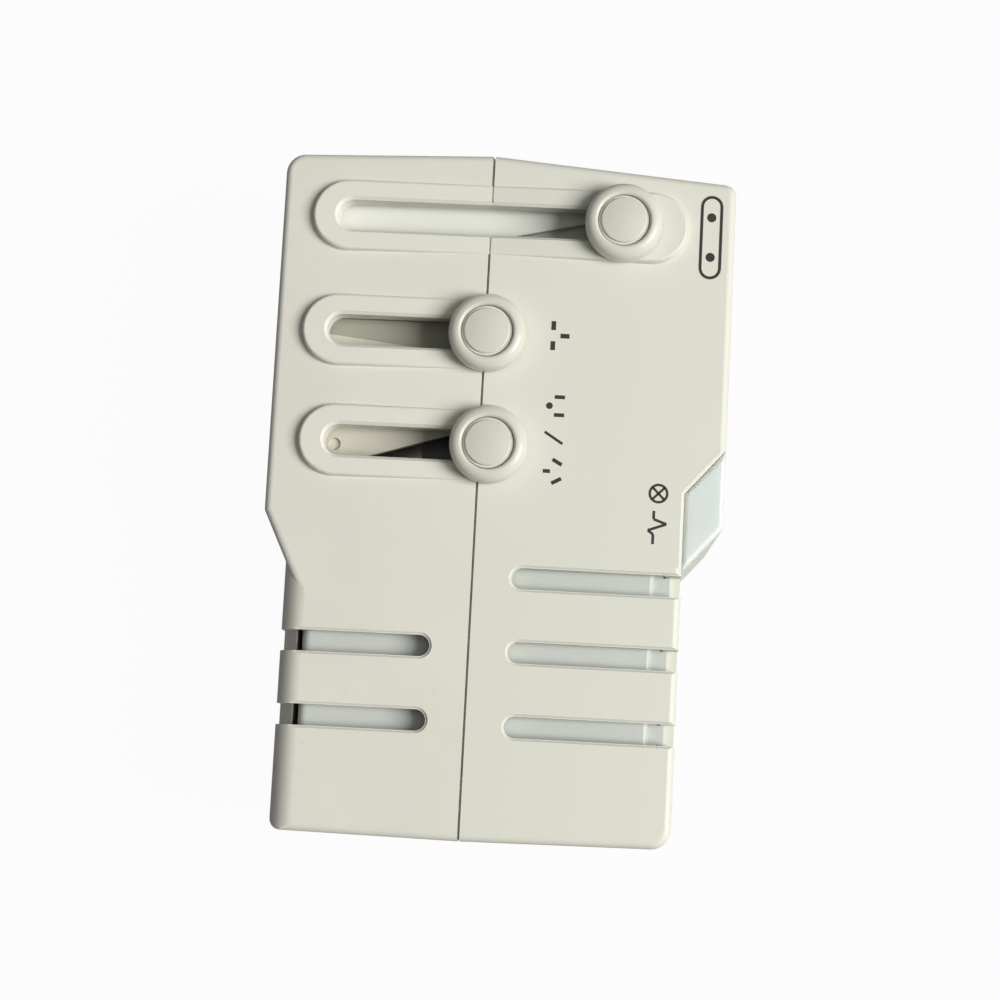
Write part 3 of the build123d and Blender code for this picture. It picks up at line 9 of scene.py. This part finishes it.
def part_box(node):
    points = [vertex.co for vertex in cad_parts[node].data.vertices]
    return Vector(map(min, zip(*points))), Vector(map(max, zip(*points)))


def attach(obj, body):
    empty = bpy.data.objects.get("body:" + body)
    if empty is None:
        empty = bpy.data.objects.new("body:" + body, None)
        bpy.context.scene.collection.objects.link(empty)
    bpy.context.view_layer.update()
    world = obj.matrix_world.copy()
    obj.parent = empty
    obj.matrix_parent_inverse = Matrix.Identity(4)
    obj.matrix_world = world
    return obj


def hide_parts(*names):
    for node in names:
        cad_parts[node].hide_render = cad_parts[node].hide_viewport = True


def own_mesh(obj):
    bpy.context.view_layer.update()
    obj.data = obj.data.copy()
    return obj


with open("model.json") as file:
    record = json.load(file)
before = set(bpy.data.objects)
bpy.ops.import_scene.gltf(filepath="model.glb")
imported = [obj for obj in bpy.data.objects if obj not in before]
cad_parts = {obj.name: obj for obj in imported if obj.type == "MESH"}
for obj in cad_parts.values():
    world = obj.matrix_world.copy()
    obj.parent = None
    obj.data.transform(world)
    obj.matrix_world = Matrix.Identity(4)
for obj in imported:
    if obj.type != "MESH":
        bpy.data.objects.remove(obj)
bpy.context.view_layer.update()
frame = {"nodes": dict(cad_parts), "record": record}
nodes = frame["nodes"]
MM = 0.001

# Socket numbers of a colour Mix node
MIX_A, MIX_B, MIX_OUT = 6, 7, 2

# Plastics: how fine each pattern is, and how far the roughness drifts
CLOUD_SCALE, FLECK_SCALE, WEAR_SCALE, GRAIN_SCALE, WAVE_SCALE = 60, 900, 240, 5200, 130
WAVE_HEIGHT = 0.00006
ROUGH_BELOW, ROUGH_ABOVE = 0.06, 0.08
MILK_DEPTH = 1.2 * MM
SEAM_BLEND = 0.0002

# The front face: its height at the seam, and its fall to each side
FRONT_Z = 38.0 * MM
FALL = math.tan(math.radians(2.4))
PRINT_THICKNESS, PRINT_SINK = 0.02 * MM, 0.01 * MM

# The photograph's camera, in mm and degrees
PHOTO_EYE = (11.25, -35.785, 317.8)
PHOTO_TARGET = (0.85, -0.945, 37.8)
PHOTO_ROLL = 3.006
PHOTO_LENS, SENSOR_WIDTH, CLIP_START = 77.59, 36, 0.01

# Lights: name, place, size, energy, colour
LIGHTS = (
    ("key", (0.70, -0.09, 0.74), (0.4, 0.6), 11.5, (1.0, 0.99, 0.96)),
    ("top", (0.05, 0.05, 0.75), (0.5, 0.5), 0.35, (0.98, 0.99, 1.0)),
)
LIGHT_AIM = (0, 0, 0.03)
FLOOR_HALF, FLOOR_TONE, FLOOR_ROUGH, FLOOR_SHINE = 0.9, 0.4, 0.8, 0.96
AMBIENT = 0.1


# Materials

class Nodes:
    """A short way to write a material's node tree."""

    def __init__(self, name, color, rough, metallic=0.0, specular=0.5):
        self.mat = bpy.data.materials.new(name)
        self.mat.use_nodes = True
        self.tree = self.mat.node_tree
        self.shader = self.tree.nodes["Principled BSDF"]
        self.shader.inputs["Base Color"].default_value = (*color, 1)
        self.shader.inputs["Roughness"].default_value = rough
        self.shader.inputs["Metallic"].default_value = metallic
        self.shader.inputs["Specular IOR Level"].default_value = specular
        self.mat.diffuse_color = (*color, 1)
        self.coord = self.add("ShaderNodeTexCoord")

    def add(self, kind, **values):
        node = self.tree.nodes.new(kind)
        for key, value in values.items():
            if key in node.inputs:
                node.inputs[key].default_value = value
            else:
                setattr(node, key, value)
        return node

    def link(self, a, b):
        self.tree.links.new(a, b)

    def noise(self, scale, detail=2.0, roughness=0.5):
        node = self.add("ShaderNodeTexNoise", Scale=scale, Detail=detail, Roughness=roughness)
        self.link(self.coord.outputs["Object"], node.inputs["Vector"])
        return node

    def ramp(self, source, stops):
        node = self.add("ShaderNodeValToRGB")
        elements = node.color_ramp.elements
        while len(elements) < len(stops):
            elements.new(0.5)
        for element, (place, color) in zip(elements, stops):
            element.position = place
            element.color = (*color, 1)
        self.link(source, node.inputs["Fac"])
        return node

    def bump(self, source, strength, distance, below=None):
        node = self.add("ShaderNodeBump", Strength=strength, Distance=distance)
        self.link(source, node.inputs["Height"])
        if below is not None:
            self.link(below.outputs["Normal"], node.inputs["Normal"])
        self.link(node.outputs["Normal"], self.shader.inputs["Normal"])
        return node


def lin(r, g, b):
    """A colour given as 0 to 255 in sRGB, made linear."""
    out = []
    for v in (r, g, b):
        v = v / 255
        out.append(v / 12.92 if v <= 0.04045 else ((v + 0.055) / 1.055) ** 2.4)
    return tuple(out)


def shade(color, factor):
    return tuple(min(1.0, c * factor) for c in color)


def moulded(name, color, rough=0.45, grain=0.000012, drift=0.03, grime=0.06, specular=0.4):
    """Moulded plastic: fine spark-eroded grain, faint cloudy colour, scattered darker flecks and a drifting
    roughness.
    """
    n = Nodes(name, color, rough, specular=specular)
    cloud = n.noise(CLOUD_SCALE, 3.0)
    tint = n.ramp(cloud.outputs["Fac"], [(0.3, shade(color, 1 - drift)), (0.7, shade(color, 1 + drift / 2))])
    fleck = n.noise(FLECK_SCALE, 4.0, 0.7)
    speck = n.ramp(fleck.outputs["Fac"], [(0.62, (1, 1, 1)), (0.74, (1 - grime, 1 - grime, 1 - grime))])
    mix = n.add("ShaderNodeMix", data_type="RGBA", blend_type="MULTIPLY")
    mix.inputs["Factor"].default_value = 1.0
    n.link(tint.outputs["Color"], mix.inputs[MIX_A])
    n.link(speck.outputs["Color"], mix.inputs[MIX_B])
    n.link(mix.outputs[MIX_OUT], n.shader.inputs["Base Color"])
    wear = n.noise(WEAR_SCALE, 3.0, 0.6)
    rough_map = n.add("ShaderNodeMapRange")
    rough_map.inputs["To Min"].default_value = rough - ROUGH_BELOW
    rough_map.inputs["To Max"].default_value = rough + ROUGH_ABOVE
    n.link(wear.outputs["Fac"], rough_map.inputs["Value"])
    n.link(rough_map.outputs["Result"], n.shader.inputs["Roughness"])
    fine = n.noise(GRAIN_SCALE, 2.0, 0.6)
    base = n.bump(fine.outputs["Fac"], 0.35, grain)
    wave = n.noise(WAVE_SCALE, 1.0)
    n.bump(wave.outputs["Fac"], 0.25, WAVE_HEIGHT, below=base)
    return n.mat


def banded(name, colors, bounds, rough, axis="Y"):
    """Moulded plastic whose colour changes from one stretch of an axis to the next; used here to paint light
    and shade along a part.
    """
    mat = moulded(name, colors[0], rough)
    tree = mat.node_tree
    base_color = tree.nodes["Principled BSDF"].inputs["Base Color"]
    split = tree.nodes.new("ShaderNodeSeparateXYZ")
    tree.links.new(tree.nodes["Texture Coordinate"].outputs["Object"], split.inputs[0])
    fade = tree.nodes.new("ShaderNodeMapRange")
    fade.inputs["From Min"].default_value, fade.inputs["From Max"].default_value = bounds
    tree.links.new(split.outputs[axis], fade.inputs["Value"])
    mix = tree.nodes.new("ShaderNodeMix")
    mix.data_type = "RGBA"
    tree.links.new(fade.outputs["Result"], mix.inputs["Factor"])
    tree.links.new(base_color.links[0].from_socket, mix.inputs[MIX_A])
    mix.inputs[MIX_B].default_value = (*colors[1], 1)
    tree.links.new(mix.outputs[MIX_OUT], base_color)
    return mat


def metal(name, color, rough, scratch=0.000006, axis="X"):
    """Drawn or stamped metal: fine lines along one axis and a cloudy tarnish."""
    n = Nodes(name, color, rough, metallic=1.0)
    mapping = n.add("ShaderNodeMapping")
    stretch = {"X": (0.05, 1, 1), "Y": (1, 0.05, 1), "Z": (1, 1, 0.05)}[axis]
    mapping.inputs["Scale"].default_value = stretch
    n.link(n.coord.outputs["Object"], mapping.inputs["Vector"])
    lines = n.add("ShaderNodeTexNoise", Scale=6000.0, Detail=3.0)
    n.link(mapping.outputs["Vector"], lines.inputs["Vector"])
    cloud = n.noise(260, 3.0)
    tint = n.ramp(cloud.outputs["Fac"], [(0.25, shade(color, 0.86)), (0.7, shade(color, 1.04))])
    n.link(tint.outputs["Color"], n.shader.inputs["Base Color"])
    rough_map = n.add("ShaderNodeMapRange")
    rough_map.inputs["To Min"].default_value = max(0.05, rough - 0.08)
    rough_map.inputs["To Max"].default_value = rough + 0.12
    n.link(lines.outputs["Fac"], rough_map.inputs["Value"])
    n.link(rough_map.outputs["Result"], n.shader.inputs["Roughness"])
    n.bump(lines.outputs["Fac"], 0.4, scratch)
    return n.mat


def laminate(name, color):
    """Board laminate: a faint glass weave under the lacquer."""
    n = Nodes(name, color, 0.35)
    weave = n.add("ShaderNodeTexChecker", Scale=1400.0)
    n.link(n.coord.outputs["Object"], weave.inputs["Vector"])
    weave.inputs["Color1"].default_value = (*shade(color, 0.9), 1)
    weave.inputs["Color2"].default_value = (*shade(color, 1.1), 1)
    n.link(weave.outputs["Color"], n.shader.inputs["Base Color"])
    n.bump(weave.outputs["Fac"], 0.2, 0.00001)
    return n.mat


def clear(name, color, rough, transmission, milk=0.0):
    """Clear or milky plastic and glass."""
    n = Nodes(name, color, rough)
    n.shader.inputs["Transmission Weight"].default_value = transmission
    n.shader.inputs["Subsurface Weight"].default_value = milk
    n.shader.inputs["Subsurface Radius"].default_value = (1, 1, 1)
    n.shader.inputs["Subsurface Scale"].default_value = MILK_DEPTH
    n.shader.inputs["IOR"].default_value = 1.49
    cloud = n.noise(400, 2.0)
    n.bump(cloud.outputs["Fac"], 0.15, 0.00002)
    tint = n.ramp(cloud.outputs["Fac"], [(0.3, shade(color, 0.97)), (0.7, color)])
    n.link(tint.outputs["Color"], n.shader.inputs["Base Color"])
    return n.mat


SEAM_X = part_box("socket_side_shell")[0].x
# Painted light: the wall-side shell (x below the seam) is a shade lighter than the socket-side shell,
# offsetting the shade its face gets from the key light; the two shells are most likely one colour.
painted_light_shell_colors = (lin(233, 231, 220), lin(221, 221, 210))
mats = {
    "housing": banded("housing_plastic_painted_light", painted_light_shell_colors, (SEAM_X - SEAM_BLEND, SEAM_X), 0.42, axis="X"),
    "socket_grey": moulded("socket_plastic", lin(206, 207, 200), 0.38),
    # Painted shade: frame pieces are creamier and darker at low Y and whiter at high Y, standing in for the
    # uneven light on the slot floors; the plastic is most likely one colour.
    "frame_white": banded("frame_plastic_painted_shade", (lin(207, 204, 190), lin(232, 234, 227)), (0.019, 0.034), 0.38),
    "case_white": moulded("case_plastic", lin(199, 204, 199), 0.4),
    "knob": moulded("knob_plastic", lin(217, 217, 205), 0.3, grain=0.000004, drift=0.015, grime=0.02),
    "button": moulded("button_plastic", lin(217, 215, 203), 0.32, grain=0.000004, drift=0.015, grime=0.02),
    "carriage_cream": moulded("carriage_cream_plastic", lin(224, 221, 208), 0.4),
    "carriage_dark": moulded("carriage_dark_plastic", lin(120, 121, 112), 0.45),
    "carriage_grey": moulded("carriage_grey_plastic", lin(210, 207, 192), 0.42),
    "strip_grey": moulded("strip_grey_plastic", lin(166, 166, 152), 0.45),
    "pin_black": moulded("pin_black_plastic", lin(34, 34, 34), 0.4, drift=0.1),
    "hub_grey": moulded("hub_grey_plastic", lin(120, 121, 116), 0.42),
    "nickel": metal("nickel_plate", lin(214, 210, 202), 0.22),
    "brass": metal("brass_strip", lin(214, 176, 104), 0.28, axis="Y"),
    "steel": metal("zinc_steel", lin(188, 189, 190), 0.3, axis="Z"),
    "board": laminate("board_laminate", lin(34, 92, 56)),
    "varistor_blue": moulded("varistor_coating", lin(36, 70, 124), 0.3, drift=0.1),
    "fuse_white": moulded("fuse_glaze", lin(228, 226, 219), 0.2),
    "resistor_tan": moulded("resistor_lacquer", lin(200, 168, 124), 0.3, drift=0.1),
    "lamp_glass": clear("lamp_glass", lin(245, 214, 190), 0.05, 0.85),
    "lens": clear("lens_plastic", lin(234, 241, 237), 0.3, 0.08, milk=0.9),
    "lead_red": moulded("lead_insulation", lin(150, 34, 28), 0.45, drift=0.05),
}
print_ink = moulded("print_ink", lin(52, 50, 46), 0.5, drift=0.15, grime=0.2)

slot_of = {}
for part in frame["record"]["subparts"]:
    slot_of[part["node"]] = part["material_slot"]
for name, obj in nodes.items():
    obj.data.materials.clear()
    obj.data.materials.append(mats[slot_of[name]])


# Printed marks: plain pin patterns and a lamp sign, where the real one has words

def face_z(x):
    """The front face's height at x, which falls away from the seam on both sides."""
    return FRONT_Z - abs(x - SEAM_X) * FALL


def mark(name, loops):
    """A thin print on the front face. Each loop is a list of (u, v) in mm from the seam and mid-length."""
    bm = bmesh.new()
    for loop in loops:
        low, high = [], []
        for u, v in loop:
            x = SEAM_X + u * MM
            low.append(bm.verts.new((x, v * MM, face_z(x) - PRINT_SINK)))
            high.append(bm.verts.new((x, v * MM, face_z(x) + PRINT_THICKNESS)))
        bm.faces.new(high)
        bm.faces.new(list(reversed(low)))
        for i in range(len(loop)):
            j = (i + 1) % len(loop)
            bm.faces.new((low[i], low[j], high[j], high[i]))
    bmesh.ops.recalc_face_normals(bm, faces=bm.faces)
    mesh = bpy.data.meshes.new(name)
    bm.to_mesh(mesh)
    bm.free()
    obj = bpy.data.objects.new(name, mesh)
    bpy.context.scene.collection.objects.link(obj)
    mesh.materials.append(print_ink)
    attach(obj, "housing")
    return obj


def disc(u, v, r, steps=20):
    return [(u + r * math.cos(math.tau * i / steps), v + r * math.sin(math.tau * i / steps))
            for i in range(steps)]


def bar(u0, v0, u1, v1, width):
    """A straight stroke from one point to another."""
    length = math.hypot(u1 - u0, v1 - v0)
    nu, nv = -(v1 - v0) / length * width / 2, (u1 - u0) / length * width / 2
    return [(u0 + nu, v0 + nv), (u0 - nu, v0 - nv), (u1 - nu, v1 - nv), (u1 + nu, v1 + nv)]


def path_marks(points, width, closed=True):
    """Strokes along a chain of points."""
    ends = list(zip(points, points[1:] + points[:1])) if closed else list(zip(points, points[1:]))
    return [bar(a[0], a[1], b[0], b[1], width) for a, b in ends]


def europe_mark():
    """A two-pin plug seen end on."""
    u, low_v, high_v, half = 29.3, 30.2, 41.2, 1.3
    pin_apart, pin_radius, stroke = 2.7, 0.62, 0.4
    rim = [(u + half * math.cos(math.radians(a)), high_v - half + half * math.sin(math.radians(a)))
           for a in range(0, 181, 15)]
    rim += [(u + half * math.cos(math.radians(a)), low_v + half + half * math.sin(math.radians(a)))
            for a in range(180, 361, 15)]
    middle = (low_v + high_v) / 2
    dots = [disc(u, middle + side * pin_apart, pin_radius) for side in (-1, 1)]
    return mark("mark_round_pins", path_marks(rim, stroke) + dots)


def uk_mark():
    """Three flat pins seen end on, the words' up being +X."""
    u, v, width = 9.8, 21.3, 0.62
    earth = bar(u + 0.15, v, u + 1.35, v, width)
    low, inner, outer = u - 0.8, 0.75, 1.95
    lines = [bar(low, v + side * inner, low, v + side * outer, width) for side in (-1, 1)]
    return mark("mark_flat_pins", [earth] + lines)


def us_mark():
    """Two upright blades over a round pin, a stroke, and two slanted blades over a flat pin."""
    u, top, low, width = 9.7, 1.25, 1.2, 0.5
    upright_v, blade_apart, round_drop, round_radius = 11.9, 1.2, 0.75, 0.45
    slanted_v, wide, narrow = 3.2, 1.6, 0.9
    stroke_from, stroke_to, stroke = 8.4, 6.9, 0.36
    loops = [bar(u - 0.1, upright_v + side * blade_apart, u + top, upright_v + side * blade_apart, width)
             for side in (1, -1)]
    loops += [disc(u - round_drop, upright_v, round_radius)]
    loops += [bar(u - low, stroke_from, u + low, stroke_to, stroke)]
    loops += [bar(u, slanted_v + side * wide, u + top, slanted_v + side * narrow, width) for side in (-1, 1)]
    loops += [bar(u - low, slanted_v, u - 0.25, slanted_v, width)]
    return mark("mark_blades", loops)


def lamp_mark():
    """A lamp sign and a single pulse."""
    u, v, r = 23.8, 1.0, 1.15
    rim_stroke, cross_stroke, pulse_stroke = 0.34, 0.32, 0.36
    k = r * math.sqrt(0.5)
    loops = path_marks(disc(u, v, r, 28), rim_stroke)
    loops += [bar(u - k, v - side * k, u + k, v + side * k, cross_stroke) for side in (1, -1)]
    pulse = [(u - 0.5, -1.3), (u - 0.5, -2.4), (u + 1.2, -3.0), (u - 1.2, -3.9), (u - 0.5, -4.4),
             (u - 0.5, -5.7)]
    return mark("mark_lamp", loops + path_marks(pulse, pulse_stroke, closed=False))


europe_mark()
uk_mark()
us_mark()
lamp_mark()


# The spring washers, each a copy of its button spring that rides with its plug

def flattening_washer(plug):
    """A button's spring washer, held on the knob's floor."""
    node = plug + "_button_spring"
    piece = bpy.data.objects.new(plug + "_washer", nodes[node].data.copy())
    piece.matrix_world = nodes[node].matrix_world.copy()
    bpy.context.scene.collection.objects.link(piece)
    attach(piece, plug + "_plug")
    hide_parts(node)
    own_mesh(piece)


for plug in ("europe", "uk", "us"):
    flattening_washer(plug)


# Camera, light and floor

def camera():
    eye = Vector(PHOTO_EYE) * MM
    target = Vector(PHOTO_TARGET) * MM
    ahead = (target - eye).normalized()
    right = ahead.cross(Vector((0, 1, 0))).normalized()
    up = right.cross(ahead)
    roll = math.radians(PHOTO_ROLL)
    r = right * math.cos(roll) + up * math.sin(roll)
    u = up * math.cos(roll) - right * math.sin(roll)
    data = bpy.data.cameras.new("photo_camera")
    data.sensor_width = SENSOR_WIDTH
    data.lens = PHOTO_LENS
    data.clip_start = CLIP_START
    obj = bpy.data.objects.new("photo_camera", data)
    obj.matrix_world = Matrix(((r.x, u.x, -ahead.x, eye.x), (r.y, u.y, -ahead.y, eye.y),
                               (r.z, u.z, -ahead.z, eye.z), (0, 0, 0, 1)))
    bpy.context.scene.collection.objects.link(obj)
    bpy.context.scene.camera = obj


def area_light(name, place, size, energy, color):
    data = bpy.data.lights.new(name, "AREA")
    data.shape = "RECTANGLE"
    data.size, data.size_y = size
    data.energy = energy
    data.color = color
    obj = bpy.data.objects.new(name, data)
    place, aim = Vector(place), Vector(LIGHT_AIM)
    obj.location = place
    obj.rotation_euler = (aim - place).to_track_quat("-Z", "Y").to_euler()
    bpy.context.scene.collection.objects.link(obj)


def floor_and_world():
    bm = bmesh.new()
    bmesh.ops.create_grid(bm, x_segments=8, y_segments=8, size=FLOOR_HALF)
    mesh = bpy.data.meshes.new("floor")
    bm.to_mesh(mesh)
    bm.free()
    floor = bpy.data.objects.new("floor", mesh)
    bpy.context.scene.collection.objects.link(floor)
    n = Nodes("floor_paper", (FLOOR_TONE,) * 3, FLOOR_ROUGH)
    grain = n.noise(300, 3.0)
    tint = n.ramp(grain.outputs["Fac"], [(0.3, (FLOOR_TONE - 0.01,) * 3), (0.7, (FLOOR_TONE + 0.01,) * 3)])
    n.link(tint.outputs["Color"], n.shader.inputs["Base Color"])
    glow = n.add("ShaderNodeEmission")
    glow.inputs["Color"].default_value = (1, 1, 1, 1)
    rays = n.add("ShaderNodeLightPath")
    share = n.add("ShaderNodeMath", operation="MULTIPLY")
    n.link(rays.outputs["Is Camera Ray"], share.inputs[0])
    share.inputs[1].default_value = FLOOR_SHINE
    mixer = n.add("ShaderNodeMixShader")
    n.link(share.outputs[0], mixer.inputs[0])
    n.link(n.shader.outputs[0], mixer.inputs[1])
    n.link(glow.outputs[0], mixer.inputs[2])
    n.link(mixer.outputs[0], n.tree.nodes["Material Output"].inputs["Surface"])
    mesh.materials.append(n.mat)

    world = bpy.data.worlds.new("studio")
    bpy.context.scene.world = world
    world.use_nodes = True
    tree = world.node_tree
    background = tree.nodes["Background"]
    background.inputs["Color"].default_value = (1, 1, 1, 1)
    background.inputs["Strength"].default_value = AMBIENT
    seen = tree.nodes.new("ShaderNodeBackground")
    seen.inputs["Color"].default_value = (1, 1, 1, 1)
    seen.inputs["Strength"].default_value = 1.0
    rays = tree.nodes.new("ShaderNodeLightPath")
    pick = tree.nodes.new("ShaderNodeMixShader")
    tree.links.new(rays.outputs["Is Camera Ray"], pick.inputs[0])
    tree.links.new(background.outputs[0], pick.inputs[1])
    tree.links.new(seen.outputs[0], pick.inputs[2])
    tree.links.new(pick.outputs[0], tree.nodes["World Output"].inputs["Surface"])


camera()
floor_and_world()
for light in LIGHTS:
    area_light(*light)
bpy.context.scene.view_settings.view_transform = "Standard"
